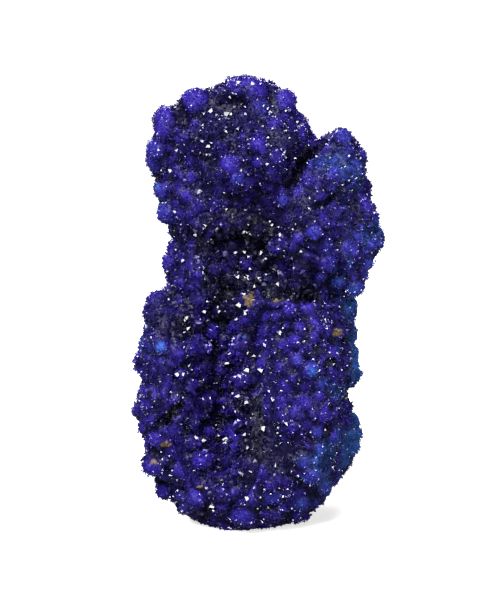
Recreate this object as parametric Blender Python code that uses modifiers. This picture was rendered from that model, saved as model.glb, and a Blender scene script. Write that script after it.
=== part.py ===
"""Azurite geode that stands on its broken foot.

The specimen is one lump of azurite, taller than it is wide, grown from round masses that
run into each other. A hollow opens in its front: a wide chamber under the brow, and a
channel that runs from it down to the foot. A crust of crystals lines the hollow.

Two solids are made: the nodule, and the crust in its hollow.

Frame: the origin is the middle of the flat foot, +Z is up, and the hollow faces -Y.
The file is in metres. Shapes are given in units, and one unit is 1 mm at the real height.
"""

import math
import random

import bmesh
import bpy
from mathutils import Matrix, Vector
from mathutils.bvhtree import BVHTree

# Driving dimensions
HEIGHT = 0.0595
UNIT = HEIGHT / 59.5
GAP = 0.3 * UNIT
CRUST_THICKNESS = 1.1 * UNIT

# How finely and softly the forms are fused, and what share of the faces is kept
FORM_VOXEL = 0.9 * UNIT
FORM_SOFTNESS = 4
STONE_VOXEL = 0.62 * UNIT
STONE_SOFTNESS = 1
STONE_FACES_KEPT = 0.119
ROOM_VOXEL = 0.9 * UNIT
ROOM_SOFTNESS = 8
ROOM_FACES_KEPT = 0.08

# The round masses that the stone is made of: centre, half sizes, and lean in the front view in degrees
MASSES = {
    "lower core": ((0.0, 2.5, 13.0), (11.0, 9.0, 15.0), 0),
    "foot lip": ((-0.8, -2.4, 8.2), (10.7, 8.6, 10.6), 0),
    "channel back": ((-3.6, 2.0, 24.0), (8.0, 8.8, 12.0), 0),
    "left wall": ((-10.9, -3.2, 18.0), (3.8, 7.0, 13.6), 0),
    "right lobe": ((6.2, -3.6, 15.4), (6.1, 7.2, 15.8), 0),
    "lower right skin": ((9.8, 4.5, 9.8), (4.9, 7.0, 8.2), 0),
    "upper right skin": ((9.9, 3.8, 20.5), (4.9, 7.2, 6.5), 0),
    "right waist": ((9.8, 2.5, 27.5), (4.6, 7.0, 6.5), 0),
    "waist": ((0.3, 2.5, 31.5), (11.8, 10.0, 10.5), 0),
    "upper core": ((-0.3, 3.5, 43.0), (10.8, 8.5, 13.0), 0),
    "crown": ((-0.8, 2.0, 50.4), (7.9, 7.6, 7.6), 0),
    "left crown": ((-7.5, 3.0, 50.4), (5.0, 6.5, 5.2), 0),
    "left shoulder": ((-9.8, 3.5, 46.8), (3.6, 5.5, 4.8), 0),
    "left flank": ((-7.5, 3.0, 42.0), (4.0, 7.0, 6.0), 0),
    "right flank": ((10.7, 0.5, 38.2), (6.2, 7.5, 8.9), 0),
    "knob": ((11.4, -1.0, 45.8), (3.9, 5.5, 6.1), 0),
    "brow": ((1.6, -3.6, 48.6), (6.8, 4.8, 4.0), -35),
    "right brow": ((7.2, -3.8, 40.6), (4.8, 5.2, 7.4), 0),
    "back": ((0.0, 7.0, 29.0), (10.0, 6.5, 23.0), 0),
}

# Dents between the masses, cut before the lumps grow
DENTS = {
    "waist bite": ((-17.2, -9.0, 35.4), (6.2, 8.5, 5.0), 0),
    "brow groove": ((7.2, -8.0, 50.0), (1.3, 5.5, 6.5), 42),
    "crown pit": ((-3.4, -7.4, 54.4), (3.4, 4.6, 3.0), 0),
    "flank crack": ((13.3, -7.6, 43.2), (4.6, 4.0, 0.8), 28),
}

# The hollow that the crust lines, from under the brow down to the foot
HOLLOWS = {
    "chamber": ((-3.0, -10.2, 36.4), (8.4, 11.0, 7.2), 0),
    "chamber right": ((4.8, -11.4, 33.4), (5.6, 9.6, 4.4), 0),
    "neck": ((-4.4, -11.2, 27.0), (6.0, 11.0, 9.0), 0),
    "channel": ((-4.2, -11.4, 16.5), (6.4, 11.6, 12.8), 0),
}

# Round lumps that show on the front and the sides: across, up, radius
FRONT_LUMPS = (
    (-7.4, 54.8, 2.6),
    (-10.6, 52.6, 2.2),
    (-12.2, 48.6, 2.0),
    (-11.6, 43.6, 1.9),
    (-10.4, 40.6, 1.5),
    (-0.4, 57.0, 2.9),
    (3.6, 55.6, 2.3),
    (7.4, 52.6, 2.2),
    (-2.6, 47.4, 2.0),
    (0.6, 50.4, 1.9),
    (2.6, 48.2, 2.4),
    (4.2, 44.0, 1.3),
    (-2.0, 45.0, 1.4),
    (8.2, 40.4, 1.6),
    (5.2, 37.6, 1.4),
    (11.8, 51.2, 1.7),
    (9.8, 46.6, 2.6),
    (13.0, 47.0, 1.8),
    (15.2, 41.4, 2.0),
    (15.6, 36.6, 2.2),
    (13.4, 32.4, 2.3),
    (9.6, 36.0, 1.7),
    (5.2, 30.2, 2.0),
    (8.4, 30.0, 1.8),
    (3.2, 27.2, 1.6),
    (6.2, 26.0, 1.5),
    (9.2, 26.8, 1.6),
    (10.6, 22.8, 1.7),
    (7.2, 21.8, 1.8),
    (4.0, 22.6, 1.4),
    (8.6, 16.8, 2.0),
    (5.4, 15.2, 1.5),
    (10.6, 12.6, 1.8),
    (7.6, 9.0, 2.2),
    (3.0, 7.6, 2.0),
    (9.8, 5.6, 1.6),
    (3.4, 3.4, 1.9),
    (13.6, 20.0, 1.8),
    (14.0, 10.6, 2.2),
    (-11.9, 29.8, 1.4),
    (-13.8, 27.4, 2.1),
    (-11.6, 25.8, 1.3),
    (-14.0, 22.6, 1.8),
    (-13.4, 17.8, 1.8),
    (-13.9, 13.2, 1.2),
    (-12.8, 8.8, 2.0),
    (-11.0, 4.8, 1.9),
    (-8.6, 2.6, 1.6),
)
FRONT_LUMP_SUNK = 0.25

# Lower lumps all round the skin, found by looking in at an upright line inside the stone
SKIN_LUMPS = 260
SKIN_LUMP_RADIUS = (1.1, 2.5)
SKIN_LUMP_SUNK = 0.5
GOLDEN_TURN = math.pi * (3 - math.sqrt(5))
LINE_BACK = 2.0
LINE_MIDDLE = 30.0
LINE_REACH = 22.0
FAR = 60.0

# Roughness of the skin, and waviness of the hollow's wall
GRAIN_SIZE = 2.2 * UNIT
GRAIN_DEPTH = 0.7 * UNIT
WALL_WAVE_SIZE = 4.5 * UNIT
WALL_WAVE_DEPTH = 2.2 * UNIT

# The crust's wall is cut into cells, which reach this percentage of the way to the next one
CELL_REACH = 46

# A crystal's form: its heights are shares of its cell's size, and its widths are shares of the width below
PRISM_HEIGHT = (0.2, 0.45)
PRISM_NARROWING = 0.74
PRISM_CHANCE = 0.6
WEDGE_HEIGHT = (0.35, 0.55)
WEDGE_LENGTH = 0.5
WEDGE_THICKNESS = 0.15
CRYSTAL_LEAN = 0.1
CRYSTAL_SHARE_OF_ROOM = 0.3

SEED = 11


def clear_scene():
    for obj in list(bpy.data.objects):
        bpy.data.objects.remove(obj, do_unlink=True)


def new_collection(name):
    collection = bpy.data.collections.new(name)
    bpy.context.scene.collection.children.link(collection)
    return collection


def new_object(name, mesh, collection):
    obj = bpy.data.objects.new(name, mesh)
    collection.objects.link(obj)
    return obj


def new_guide(name, mesh, collection):
    """A helper that shapes the solids and isn't one of them."""
    obj = new_object(name, mesh, collection)
    obj.hide_render = True
    obj.display_type = "WIRE"
    return obj


def evaluated_mesh(obj):
    bpy.context.view_layer.update()
    graph = bpy.context.evaluated_depsgraph_get()
    return bpy.data.meshes.new_from_object(obj.evaluated_get(graph), depsgraph=graph)


def add_ellipsoid(bm, centre, half_sizes, lean_degrees=0, subdivisions=3):
    placed = (
        Matrix.Translation(Vector(centre) * UNIT)
        @ Matrix.Rotation(math.radians(lean_degrees), 4, "Y")
        @ Matrix.Diagonal((*(Vector(half_sizes) * UNIT), 1.0))
    )
    bmesh.ops.create_icosphere(bm, subdivisions=subdivisions, radius=1.0, matrix=placed)


def ellipsoids_mesh(name, forms):
    """The named forms as ellipsoids in one mesh, overlapping and not yet joined."""
    bm = bmesh.new()
    for centre, half_sizes, lean in forms.values():
        add_ellipsoid(bm, centre, half_sizes, lean)
    mesh = bpy.data.meshes.new(name)
    bm.to_mesh(mesh)
    bm.free()
    return mesh


def add_fuse(obj, voxel, smoothing):
    """Joins overlapping forms into one skin and softens the seams."""
    fuse = obj.modifiers.new("Fuse", "REMESH")
    fuse.mode = "VOXEL"
    fuse.voxel_size = voxel
    soften = obj.modifiers.new("Soften", "SMOOTH")
    soften.iterations = smoothing


def add_roughness(obj, name, size, depth):
    """Moves the skin in and out by soft noise."""
    noise = bpy.data.textures.new(name, "CLOUDS")
    noise.noise_scale = size
    roughen = obj.modifiers.new(name, "DISPLACE")
    roughen.texture = noise
    roughen.strength = depth


def add_boolean(obj, operation, other, self_crossing=False):
    cut = obj.modifiers.new(operation.title(), "BOOLEAN")
    cut.operation = operation
    cut.object = other
    cut.use_self = self_crossing


def surface_of(mesh):
    """The mesh's faces in a tree that rays can be cast at."""
    return BVHTree.FromPolygons([v.co for v in mesh.vertices], [p.vertices for p in mesh.polygons])


def largest_piece(mesh):
    """Deletes the crumbs that a cut leaves beside the main body."""
    bm = bmesh.new()
    bm.from_mesh(mesh)
    unseen = set(bm.verts)
    pieces = []
    while unseen:
        edge_of_search = [unseen.pop()]
        piece = list(edge_of_search)
        while edge_of_search:
            vert = edge_of_search.pop()
            for edge in vert.link_edges:
                other = edge.other_vert(vert)
                if other in unseen:
                    unseen.remove(other)
                    edge_of_search.append(other)
                    piece.append(other)
        pieces.append(piece)
    pieces.sort(key=len, reverse=True)
    for crumb in pieces[1:]:
        bmesh.ops.delete(bm, geom=crumb, context="VERTS")
    bm.to_mesh(mesh)
    bm.free()
    return mesh


def fused_form(guides):
    """The masses joined and dented, before any lump grows on them."""
    dents = new_guide("dents", ellipsoids_mesh("dents", DENTS), guides)
    form = new_guide("masses", ellipsoids_mesh("masses", MASSES), guides)
    add_fuse(form, FORM_VOXEL, FORM_SOFTNESS)
    add_boolean(form, "DIFFERENCE", dents, self_crossing=True)
    return form


def front_lump_places(surface):
    """Where each front lump's middle lies, found by looking along +Y at the form."""
    for across, up, radius in FRONT_LUMPS:
        start = Vector((across, -FAR, up)) * UNIT
        point, normal, _, _ = surface.ray_cast(start, Vector((0, 1, 0)))
        if point is not None:
            yield point - normal * (FRONT_LUMP_SUNK * radius * UNIT), radius


def skin_lump_places(surface, rng):
    """Where the lower lumps' middles lie, spread over the form from the foot to the crown."""
    low, high = SKIN_LUMP_RADIUS
    for i in range(SKIN_LUMPS):
        turn = i * GOLDEN_TURN
        tilt = math.asin(2 * (i + 0.5) / SKIN_LUMPS - 1)
        outward = Vector((math.cos(turn) * math.cos(tilt), math.sin(turn) * math.cos(tilt), math.sin(tilt)))
        middle = Vector((0, LINE_BACK, LINE_MIDDLE + LINE_REACH * math.sin(tilt))) * UNIT
        point, normal, _, _ = surface.ray_cast(middle + outward * FAR * UNIT, -outward)
        radius = low + (high - low) * rng.random() ** 2
        if point is not None:
            yield point - normal * (SKIN_LUMP_SUNK * radius * UNIT), radius


def lumpy_stone(form, guides, rng):
    """The whole stone with its lumps and rough grain, before the hollow is opened."""
    surface = BVHTree.FromObject(form, bpy.context.evaluated_depsgraph_get())
    bm = bmesh.new()
    bm.from_mesh(evaluated_mesh(form))
    places = list(front_lump_places(surface)) + list(skin_lump_places(surface, rng))
    for middle, radius in places:
        add_ellipsoid(bm, middle / UNIT, (radius, radius, radius), subdivisions=2)
    mesh = bpy.data.meshes.new("stone")
    bm.to_mesh(mesh)
    bm.free()
    stone = new_guide("stone", mesh, guides)
    add_fuse(stone, STONE_VOXEL, STONE_SOFTNESS)
    add_roughness(stone, "Grain", GRAIN_SIZE, GRAIN_DEPTH)
    thin = stone.modifiers.new("Thin", "DECIMATE")
    thin.ratio = STONE_FACES_KEPT
    return stone


def hollow_form(guides):
    """The closed form of the hollow's space, finely divided."""
    room = new_guide("room", ellipsoids_mesh("room", HOLLOWS), guides)
    add_fuse(room, ROOM_VOXEL, ROOM_SOFTNESS)
    add_roughness(room, "Wall wave", WALL_WAVE_SIZE, WALL_WAVE_DEPTH)
    return evaluated_mesh(room)


def hollow_room(name, form_mesh, inwards, guides):
    """The hollow's space in few faces, with its wall moved inwards by a distance."""
    room = new_guide(name, form_mesh.copy(), guides)
    move = room.modifiers.new("Inwards", "DISPLACE")
    move.mid_level = 0.0
    move.strength = -inwards
    add_fuse(room, ROOM_VOXEL, ROOM_SOFTNESS)
    thin = room.modifiers.new("Thin", "DECIMATE")
    thin.ratio = ROOM_FACES_KEPT
    room.data = evaluated_mesh(room)
    room.modifiers.clear()
    return room


def ground_box(guides):
    """All that lies below the foot's level."""
    size = 2 * FAR * UNIT
    bm = bmesh.new()
    bmesh.ops.create_cube(bm, size=size, matrix=Matrix.Translation((0, 0, -size / 2)))
    mesh = bpy.data.meshes.new("ground")
    bm.to_mesh(mesh)
    bm.free()
    return new_guide("ground", mesh, guides)


def raise_cell(bm, cell, inward, rise, length_share, thickness_share):
    """Pushes one cell into the hollow and narrows it by a share along it and a share across it."""
    top = bmesh.ops.extrude_discrete_faces(bm, faces=[cell])["faces"][0]
    middle = top.calc_center_median()
    long_way = (top.verts[0].co - middle).normalized()
    cross_way = inward.cross(long_way)
    for vert in top.verts:
        offset = vert.co - middle
        along = offset.dot(long_way) * length_share
        across = offset.dot(cross_way) * thickness_share
        vert.co = middle + inward * rise + long_way * along + cross_way * across
    return top


def grow_crystals(room, rng):
    """Cuts the wall into cells, one round each corner, and grows a crystal from each."""
    wall = surface_of(room.data)
    bm = bmesh.new()
    bm.from_mesh(room.data)
    cut = bmesh.ops.bevel(bm, geom=bm.verts[:], affect="VERTICES", offset_type="PERCENT", offset=CELL_REACH)
    bm.normal_update()
    for cell in cut["faces"]:
        size = math.sqrt(cell.calc_area())
        lean = Vector((rng.gauss(0, 1), rng.gauss(0, 1), rng.gauss(0, 1))) * CRYSTAL_LEAN
        inward = (lean - cell.normal).normalized()
        prism = size * rng.uniform(*PRISM_HEIGHT)
        wedge = size * rng.uniform(*WEDGE_HEIGHT)
        start = cell.calc_center_median() - cell.normal * GAP
        _, _, _, room_ahead = wall.ray_cast(start, inward)
        fit = min(1.0, CRYSTAL_SHARE_OF_ROOM * room_ahead / (prism + wedge))
        if rng.random() < PRISM_CHANCE:
            cell = raise_cell(bm, cell, inward, prism * fit, PRISM_NARROWING, PRISM_NARROWING)
        raise_cell(bm, cell, inward, wedge * fit, WEDGE_LENGTH, WEDGE_THICKNESS)
    bm.to_mesh(room.data)
    bm.free()


def make_nodule(stone_mesh, room, ground, parts):
    mesh = stone_mesh.copy()
    mesh.name = "nodule"
    nodule = new_object("nodule", mesh, parts)
    add_boolean(nodule, "DIFFERENCE", room)
    add_boolean(nodule, "DIFFERENCE", ground)
    nodule.data = largest_piece(evaluated_mesh(nodule))
    nodule.modifiers.clear()
    return nodule


def make_crust(stone, room, form_mesh, ground, guides, parts, rng):
    """A layer on the hollow's wall, covered in crystals, a gap clear of the nodule."""
    outer = new_guide("hollow within the gap", room.data.copy(), guides)
    step = outer.modifiers.new("Gap", "DISPLACE")
    step.mid_level = 0.0
    step.strength = -GAP
    inner = hollow_room("hollow within the crust", form_mesh, GAP + CRUST_THICKNESS, guides)
    grow_crystals(inner, rng)
    crust = new_object("hollow_crystals", evaluated_mesh(outer), parts)
    add_boolean(crust, "DIFFERENCE", inner, self_crossing=True)
    add_boolean(crust, "INTERSECT", stone)
    add_boolean(crust, "DIFFERENCE", ground)
    crust.data = largest_piece(evaluated_mesh(crust))
    crust.modifiers.clear()
    return crust


def principled(name, colour, roughness):
    material = bpy.data.materials.new(name)
    material.use_nodes = True
    shader = material.node_tree.nodes["Principled BSDF"]
    shader.inputs["Base Color"].default_value = (*colour, 1.0)
    shader.inputs["Roughness"].default_value = roughness
    shader.inputs["Metallic"].default_value = 0.0
    return material


def main():
    clear_scene()
    rng = random.Random(SEED)
    parts = new_collection("azurite geode")
    guides = new_collection("guides")

    form = fused_form(guides)
    stone = lumpy_stone(form, guides, rng)
    stone_mesh = evaluated_mesh(stone)
    stone.modifiers.clear()
    stone.data = stone_mesh
    form_mesh = hollow_form(guides)
    room = hollow_room("hollow space", form_mesh, 0.0, guides)
    ground = ground_box(guides)

    nodule = make_nodule(stone_mesh, room, ground, parts)
    crust = make_crust(stone, room, form_mesh, ground, guides, parts, rng)

    nodule.data.materials.append(principled("Azurite skin", (0.035, 0.03, 0.22), 0.6))
    crust.data.materials.append(principled("Azurite crystal", (0.02, 0.012, 0.11), 0.2))


main()
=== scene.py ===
"""Azurite geode: the looks of its stone, its druse of small crystals and its crystal-lined hollow.

Every piece is worked out from the two solids of the frame. The stone and the wall of the hollow are
fine meshes of those solids with round heads raised on them. Tens of thousands of small flat-faced
crystals stand on both, coloured by where they grow. Lengths are in metres, +Z is up and the hollow
faces -Y.
"""

import math
from collections import namedtuple

import bmesh
import bpy
import numpy as np
from bpy.props import FloatProperty, FloatVectorProperty, IntProperty, PointerProperty
from bpy.types import Operator, Panel, PropertyGroup
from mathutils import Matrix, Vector, noise
from mathutils.bvhtree import BVHTree
from mathutils.kdtree import KDTree


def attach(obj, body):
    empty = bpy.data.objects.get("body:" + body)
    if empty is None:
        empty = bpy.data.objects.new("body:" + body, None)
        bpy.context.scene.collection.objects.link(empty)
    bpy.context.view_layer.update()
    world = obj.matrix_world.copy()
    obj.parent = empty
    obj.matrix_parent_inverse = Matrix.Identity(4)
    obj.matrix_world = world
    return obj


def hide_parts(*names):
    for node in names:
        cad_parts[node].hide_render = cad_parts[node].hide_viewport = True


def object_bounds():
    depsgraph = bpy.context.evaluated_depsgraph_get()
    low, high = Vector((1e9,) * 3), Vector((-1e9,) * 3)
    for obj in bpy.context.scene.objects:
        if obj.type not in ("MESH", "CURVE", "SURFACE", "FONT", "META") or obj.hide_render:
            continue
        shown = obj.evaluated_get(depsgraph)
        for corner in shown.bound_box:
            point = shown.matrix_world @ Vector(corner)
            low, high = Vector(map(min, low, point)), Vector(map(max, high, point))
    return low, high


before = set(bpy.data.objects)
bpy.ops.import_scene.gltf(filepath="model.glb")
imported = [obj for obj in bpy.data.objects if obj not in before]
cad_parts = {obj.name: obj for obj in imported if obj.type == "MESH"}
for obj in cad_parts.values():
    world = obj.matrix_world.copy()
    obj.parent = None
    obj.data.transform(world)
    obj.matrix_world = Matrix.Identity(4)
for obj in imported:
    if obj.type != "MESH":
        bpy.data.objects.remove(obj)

bl_info = {
    "name": "Azurite geode",
    "version": (1, 0, 0),
    "blender": (4, 5, 0),
    "location": "3D View > Sidebar > Geode",
    "description": "Dresses an azurite geode with its crystals and sets a plain stage for it",
    "category": "Object",
}

MM = 0.001
BODY = "root"
BOX_LOW, BOX_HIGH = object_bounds()

# What draws random numbers of its own, in the order of the seeds
SEED = 23001
DRAWS = ("stone", "hollow_wall", "skin_druse", "hollow_druse", "turned_crystals", "matrix_grains")

# The picture's frame in pixels, which pixel places are given in, and the camera's sensor in millimetres
PICTURE_WIDTH = 480
PICTURE_HEIGHT = 605
SENSOR = 36.0

# Names of the numbers that each corner of a mesh carries for its colour
# The proud value is a share of full violet: painted light on bulges and head tops and painted shade in gaps,
# partly the stone's own tone
PROUD_AND_PAINTED_SHADE = "proud"
TEAL = "teal"
MATRIX = "matrix"
TINT = "tint"

TONES = (PROUD_AND_PAINTED_SHADE, TEAL, MATRIX, TINT)

# Kept on the stone and the wall alone: depth inside the hollow, and whether another solid lies close in front
DEPTH = "depth"
BACKED = "backed"

# Round heads seen on the front: pixel across and down, radius in mm, brightness, blueness
FRONT_HEADS = {
    "crown left": (192, 95, 2.3, 1.0, 0.0),
    "crown left top": (207, 88, 2.7, 0.85, 0.0),
    "crown right": (262, 88, 2.0, 0.75, 0.0),
    "crown edge": (288, 100, 1.7, 0.9, 0.0),
    "crown slope": (276, 124, 1.3, 0.7, 0.0),
    "crown inner": (244, 114, 0.9, 0.7, 0.0),
    "crown middle": (263, 106, 1.9, 0.85, 0.1),
    "shoulder": (166, 114, 2.0, 0.8, 0.0),
    "crown ridge": (218, 87, 2.2, 0.5, 0.0),
    "crown ridge top": (233, 84, 1.9, 0.5, 0.0),
    "crown peak": (249, 82, 1.6, 0.6, 0.0),
    "crown side": (303, 112, 1.9, 0.5, 0.0),
    "crown end": (312, 124, 1.7, 0.45, 0.0),
    "knob tip": (345, 136, 1.3, 0.7, 0.2),
    "left flank": (162, 192, 1.6, 0.7, 0.1),
    "left waist": (172, 243, 1.9, 0.6, 0.0),
    "right waist": (369, 266, 1.5, 0.8, 0.3),
    "left wall tip": (160, 296, 1.7, 0.4, 0.0),
    "left wall top": (151, 313, 1.9, 0.4, 0.0),
    "left wall high": (146, 329, 1.9, 0.3, 0.1),
    "left wall side": (140, 346, 1.9, 0.55, 0.1),
    "skin top": (355, 292, 1.3, 0.5, 0.5),
    "skin upper": (356, 334, 1.5, 0.6, 0.8),
    "skin upper end": (357, 352, 1.3, 0.6, 0.9),
    "skin lower": (354, 402, 1.6, 0.5, 0.9),
    "skin lower middle": (355, 416, 1.6, 0.5, 0.9),
    "skin foot": (353, 450, 1.5, 0.6, 0.9),
    "shoulder top": (178, 104, 1.5, 0.7, 0.0),
    "shoulder side": (157, 130, 2.0, 0.75, 0.0),
    "outer shoulder": (152, 149, 1.8, 0.9, 0.1),
    "under the shoulder": (151, 166, 1.5, 0.9, 0.15),
    "left neck": (164, 214, 1.6, 0.6, 0.0),
    "left waist low": (168, 262, 1.6, 0.5, 0.0),
    "pit ball": (237, 123, 1.15, 0.8, 0.0),
    "brow ball": (232, 163, 1.5, 1.0, 0.0),
    "small brow ball": (237, 180, 1.0, 1.0, 0.2),
    "brow top": (262, 143, 1.3, 0.8, 0.0),
    "brow right": (280, 155, 1.2, 0.7, 0.0),
    "brow low": (257, 163, 0.8, 0.9, 0.0),
    "groove ball": (283, 202, 0.95, 1.0, 0.15),
    "right ball": (314, 233, 1.15, 1.0, 0.15),
    "right low ball": (306, 258, 0.8, 0.8, 0.0),
    "right inner ball": (298, 238, 0.9, 0.8, 0.0),
    "flank ball": (327, 246, 1.2, 0.95, 0.1),
    "flank low ball": (331, 264, 1.2, 0.9, 0.1),
    "flank foot ball": (320, 278, 1.1, 0.9, 0.1),
    "flank foot right": (338, 284, 1.2, 0.8, 0.2),
    "sill ball": (290, 277, 1.0, 1.0, 0.0),
    "sill left ball": (268, 283, 1.0, 0.6, 0.1),
    "lobe crest left": (289, 308, 0.95, 1.0, 0.0),
    "lobe crest middle": (308, 308, 1.1, 1.0, 0.0),
    "lobe crest right": (325, 314, 0.8, 0.5, 0.0),
    "lobe crest low": (314, 322, 0.75, 1.0, 0.0),
    "lobe crest inner": (301, 326, 0.95, 0.95, 0.0),
    "lobe crest start": (276, 316, 0.8, 0.45, 0.0),
    "lobe shoulder": (292, 341, 1.0, 1.0, 0.0),
    "lobe middle": (315, 337, 0.95, 0.95, 0.0),
    "lobe left": (297, 360, 1.0, 0.8, 0.1),
    "lobe blue": (314, 371, 1.3, 0.9, 0.35),
    "lobe blue low": (322, 384, 1.1, 0.9, 0.25),
    "lobe right": (338, 350, 1.1, 0.7, 0.3),
    "lobe low": (318, 432, 1.2, 0.8, 0.2),
    "lobe low right": (322, 450, 1.2, 0.9, 0.3),
    "lobe foot ball": (302, 462, 1.2, 0.8, 0.2),
    "wall blue ball": (160, 348, 0.95, 1.0, 0.5),
    "channel high": (206, 351, 1.0, 0.8, 0.0),
    "channel upper ball": (196, 368, 1.1, 0.85, 0.0),
    "channel middle": (212, 384, 1.0, 0.8, 0.0),
    "channel lower ball": (204, 399, 0.9, 0.8, 0.0),
    "channel ball": (192, 413, 1.1, 0.7, 0.0),
    "wall ball": (170, 405, 1.0, 0.6, 0.0),
    "wall low ball": (153, 440, 1.3, 0.8, 0.0),
    "foot ball": (270, 497, 1.8, 0.9, 0.15),
    "foot bulge": (240, 520, 2.0, 1.0, 0.05),
    "foot outer right": (312, 480, 1.3, 0.85, 0.2),
    "foot edge right": (325, 488, 1.1, 0.8, 0.35),
    "foot outer left": (153, 473, 1.5, 0.95, 0.0),
    "foot lower left": (163, 492, 1.5, 0.9, 0.0),
    "foot left": (200, 493, 1.4, 0.8, 0.05),
    "foot side": (190, 509, 1.5, 0.7, 0.05),
    "foot corner": (180, 496, 1.3, 0.8, 0.05),
    "foot right": (300, 505, 1.6, 0.7, 0.3),
}

# Gaps seen on the front, sunk in and darkened with painted shade: pixels along the gap, half width and depth
# in mm
FRONT_GAPS = {
    "sill crevice": (((262, 291), (274, 296), (288, 292), (299, 297), (312, 293), (322, 296)), 1.0, 1.2),
    "sill crevice left": (((210, 288), (228, 291), (244, 288)), 0.9, 0.9),
    "brow groove": (((327, 136), (314, 147), (303, 158), (296, 170), (289, 182)), 0.9, 1.4),
    "flank crack": (((351, 184), (340, 193), (328, 203), (314, 205)), 0.6, 1.2),
    "crown pit": (((214, 100), (226, 106), (238, 106)), 1.1, 0.8),
    "crown notch": (((176, 101), (180, 111), (184, 124)), 0.9, 0.7),
    "lobe pit": (((340, 366), (330, 362)), 0.8, 0.9),
    "skin notch": (((353, 392), (343, 394)), 0.7, 0.5),
    "wall pit": (((160, 425), (170, 418), (180, 405)), 0.8, 1.0),
}

# Painted shade on the front, where the crystals are also clear and the heads few: pixel across and down,
# reach in mm, strength
FRONT_PAINTED_SHADES = {
    "crown pit": (226, 104, 3.4, 0.9),
    "crown top": (214, 90, 1.8, 0.6),
    "crown middle": (232, 116, 3.6, 0.85),
    "crown upper right": (256, 130, 2.0, 0.5),
    "crown inner left": (206, 118, 2.6, 0.8),
    "crown right": (288, 138, 3.4, 0.75),
    "crown left": (202, 140, 3.2, 0.7),
    "left of the brow": (208, 168, 2.6, 0.7),
    "chamber top": (238, 213, 3.2, 0.6),
    "chamber": (260, 238, 5.2, 1.0),
    "chamber left": (208, 240, 3.4, 0.8),
    "chamber right": (284, 222, 3.0, 0.75),
    "flank foot": (308, 204, 3.0, 0.8),
    "chamber low": (296, 258, 2.2, 0.6),
    "sill right": (308, 287, 1.4, 0.7),
    "sill left": (226, 290, 4.4, 1.0),
    "sill middle": (260, 288, 3.0, 1.0),
    "neck": (226, 312, 3.2, 0.95),
    "left of the chamber": (184, 238, 3.0, 0.6),
    "left wall top": (160, 314, 3.8, 0.7),
    "left wall high": (156, 330, 2.2, 0.5),
    "left wall inner": (176, 322, 3.8, 0.9),
    "left wall": (156, 375, 2.6, 0.45),
    "wall pit": (164, 418, 2.0, 0.5),
    "lobe foot high": (252, 410, 3.2, 0.9),
    "lobe foot": (258, 436, 4.2, 1.0),
    "lobe foot low": (284, 460, 3.6, 0.9),
    "foot middle": (245, 475, 2.6, 0.6),
    "lobe right": (340, 325, 1.6, 0.5),
}

# Tan matrix that shows on the front: pixel across and down, radius in mm
FRONT_MATRIX = {
    "crevice": (250, 299, 1.3),
    "crevice right": (279, 298, 1.0),
    "under the lobe crest": (301, 297, 0.65),
    "lobe side": (338, 333, 0.9),
    "wall upper": (165, 447, 0.9),
    "wall lower": (154, 462, 0.85),
    "foot upper": (200, 487, 0.7),
    "foot lower": (200, 514, 0.6),
    "crown side": (309, 116, 0.7),
    "crown end": (323, 131, 0.6),
}

# Pale blue specks on the front: pixel across and down, radius in mm
FRONT_SPECKS = {
    "lobe": (313, 371, 0.7),
    "lobe right": (326, 382, 0.6),
    "foot": (302, 479, 0.6),
    "foot low": (192, 503, 0.4),
    "channel": (244, 337, 0.4),
    "left flank": (158, 187, 0.4),
    "left flank low": (158, 201, 0.5),
    "left wall": (161, 346, 0.6),
    "right flank": (352, 262, 0.8),
}

# Large crystals whose faces catch the light: pixel across and down, width in mm
TURNED_CRYSTALS = {
    "chamber": (247, 279, 1.25),
    "sill": (240, 305, 0.9),
    "sill low": (246, 314, 0.7),
    "neck": (218, 322, 0.55),
    "channel left": (187, 359, 0.6),
    "channel left low": (183, 374, 0.6),
    "channel right": (248, 370, 0.95),
    "channel far right": (262, 370, 0.95),
    "channel inner": (243, 376, 0.8),
    "channel middle": (247, 402, 0.75),
    "channel low left": (209, 412, 0.75),
    "lobe edge": (263, 428, 0.9),
    "channel foot": (195, 438, 0.7),
    "channel foot right": (204, 440, 0.8),
    "foot": (248, 499, 0.8),
    "foot left": (213, 506, 0.9),
    "crown pit": (226, 115, 1.0),
    "crown pit left": (211, 112, 0.8),
    "crown top": (238, 83, 0.7),
    "crown top right": (252, 84, 0.7),
    "shoulder": (203, 141, 0.6),
    "shoulder low": (209, 146, 0.7),
    "flank": (171, 171, 0.7),
    "brow left": (200, 191, 0.9),
    "brow edge": (267, 164, 0.6),
    "chamber left": (204, 226, 0.9),
    "chamber wall": (196, 235, 0.6),
    "chamber right": (280, 236, 0.7),
    "chamber low": (235, 253, 0.6),
    "chamber sill": (262, 254, 0.7),
    "left of the neck": (183, 260, 0.6),
    "lobe top": (281, 333, 0.8),
}

# Teal-blue skin with few crystals: middle and reach in mm, and strength
TEAL_PATCHES = {
    "knob": ((11.5, -5.0, 47.0), 5.0, 0.38),
    "right flank": ((16.5, 0.0, 38.5), 7.5, 0.6),
    "right waist": ((14.5, -2.0, 31.0), 6.0, 0.85),
    "right skin": ((15.5, 0.5, 19.5), 7.5, 1.0),
    "right foot": ((13.0, 0.0, 9.5), 6.5, 0.9),
    "lobe foot": ((10.0, -8.0, 9.5), 5.5, 0.6),
    "left flank": ((-12.5, -1.5, 42.0), 3.2, 0.35),
    "left wall": ((-14.5, -3.0, 24.0), 4.5, 0.35),
    "left back": ((-12.0, 9.0, 30.0), 7.0, 0.6),
    "high back": ((4.0, 12.0, 47.0), 8.0, 0.7),
    "low back": ((-4.0, 13.0, 14.0), 9.0, 0.7),
}

# The skin under the heads: a sink is how far it lies below the solid's surface, least at the hollow's rim
BASE_FACE = 0.45 * MM
SKIN_SINK = 0.25 * MM
HEADED_SINK = 0.62 * MM
SHADE_SHALLOWER = 0.6
WALL_SINK = 0.15 * MM
RIM_WIDTH = 1.6 * MM
STONE_SOFTENING = 3
WALL_SOFTENING = 2
HEAD_SOFTENING = 1

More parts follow.
